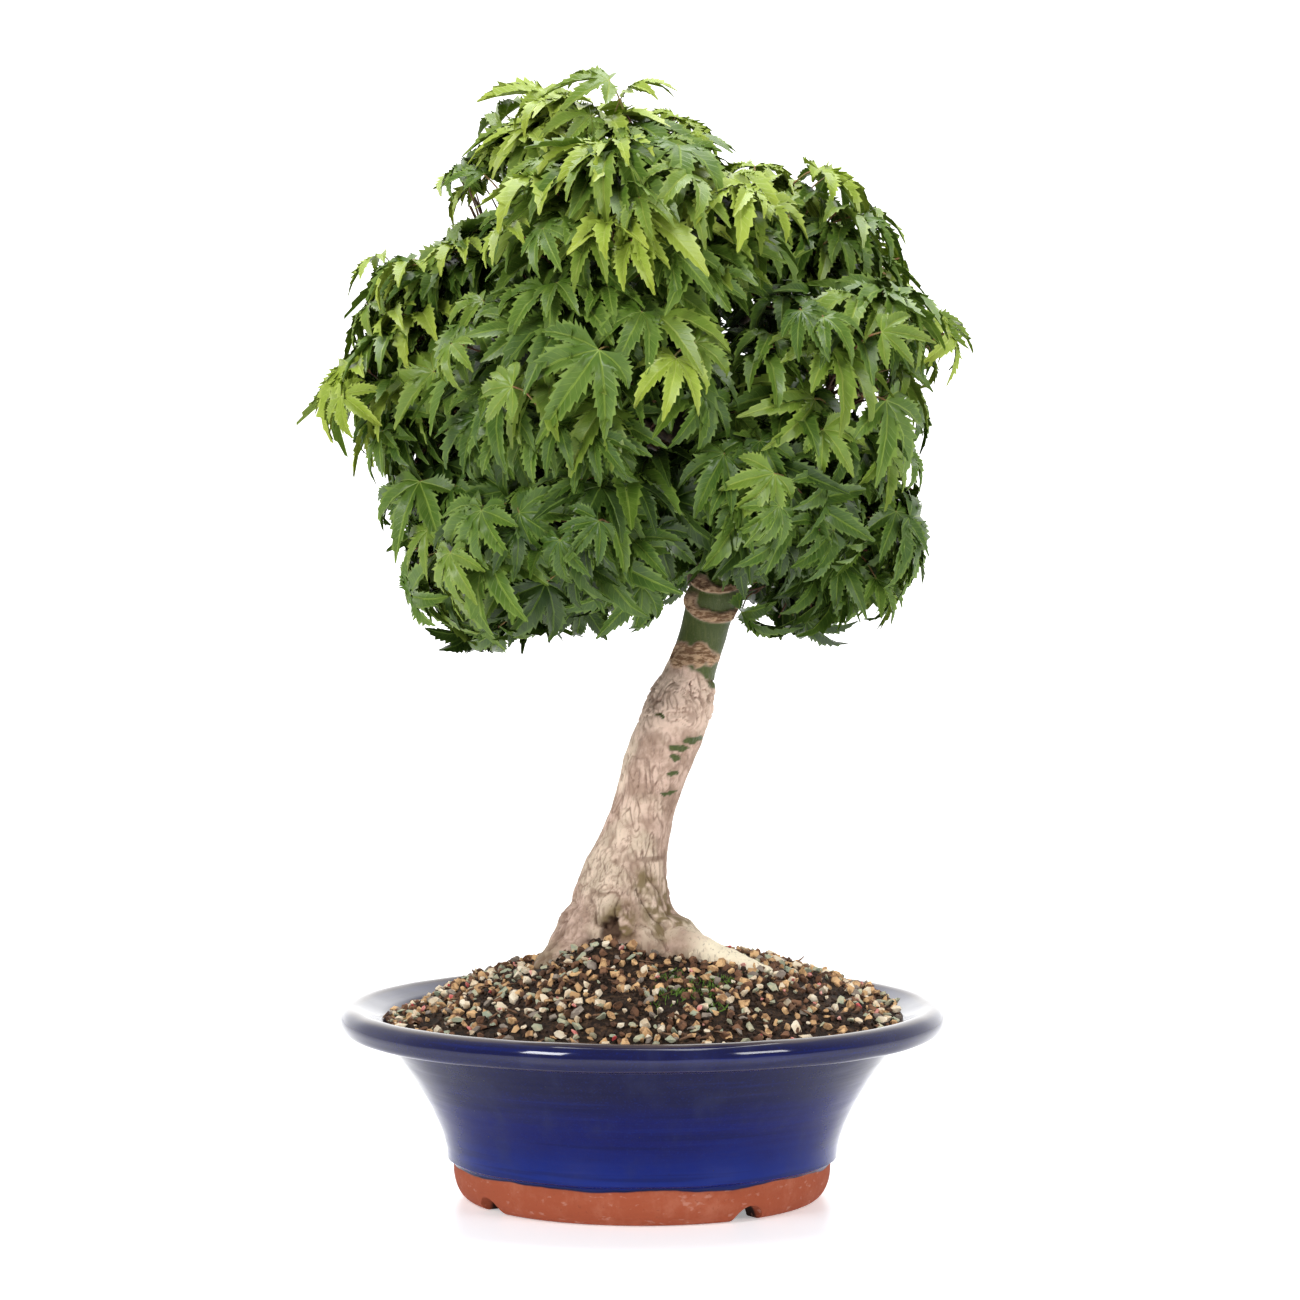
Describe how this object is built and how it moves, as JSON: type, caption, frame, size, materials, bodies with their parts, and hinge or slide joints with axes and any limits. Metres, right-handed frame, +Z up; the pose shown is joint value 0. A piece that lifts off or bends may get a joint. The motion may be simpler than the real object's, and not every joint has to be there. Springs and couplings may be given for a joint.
{
  "type": "potted japanese maple bonsai",
  "caption": "Small Japanese maple grown as a bonsai, with a leaning flared trunk and a round leafy crown, in a round blue-glazed pot on an unglazed foot.",
  "frame": {"origin": "middle of the pot's foot, on the surface that it stands on", "axes": "+Z up, +Y away from the front of the tree, +X to the right seen from the front"},
  "size_m": [0.2815, 0.2711, 0.4765],
  "materials": {
    "glazed_pot": "deep blue gloss glaze over a matt terracotta foot",
    "soil": "loose grit of stone, bark and humus",
    "trunk_bark": "pale bark with fine fissures, green above the graft",
    "bough_bark": "young brown bark",
    "foliage": "satin green leaves, brighter at the tips"
  },
  "bodies": {
    "root": {"pot": "glazed_pot", "soil": "soil", "trunk": "trunk_bark", "bough_lower_1": "bough_bark", "bough_lower_2": "bough_bark", "bough_lower_3": "bough_bark", "bough_lower_4": "bough_bark", "bough_lower_5": "bough_bark", "bough_lower_6": "bough_bark", "bough_middle_1": "bough_bark", "bough_middle_2": "bough_bark", "bough_middle_3": "bough_bark", "bough_middle_4": "bough_bark", "bough_middle_5": "bough_bark", "bough_upper_1": "bough_bark", "bough_upper_2": "bough_bark", "bough_upper_3": "bough_bark", "bough_upper_4": "bough_bark", "foliage_lower_1": "foliage", "foliage_lower_2": "foliage", "foliage_lower_3": "foliage", "foliage_lower_4": "foliage", "foliage_lower_5": "foliage", "foliage_lower_6": "foliage", "foliage_middle_1": "foliage", "foliage_middle_2": "foliage", "foliage_middle_3": "foliage", "foliage_middle_4": "foliage", "foliage_middle_5": "foliage", "foliage_upper_1": "foliage", "foliage_upper_2": "foliage", "foliage_upper_3": "foliage", "foliage_upper_4": "foliage", "foliage_top": "foliage"}
  },
  "joints": []
}
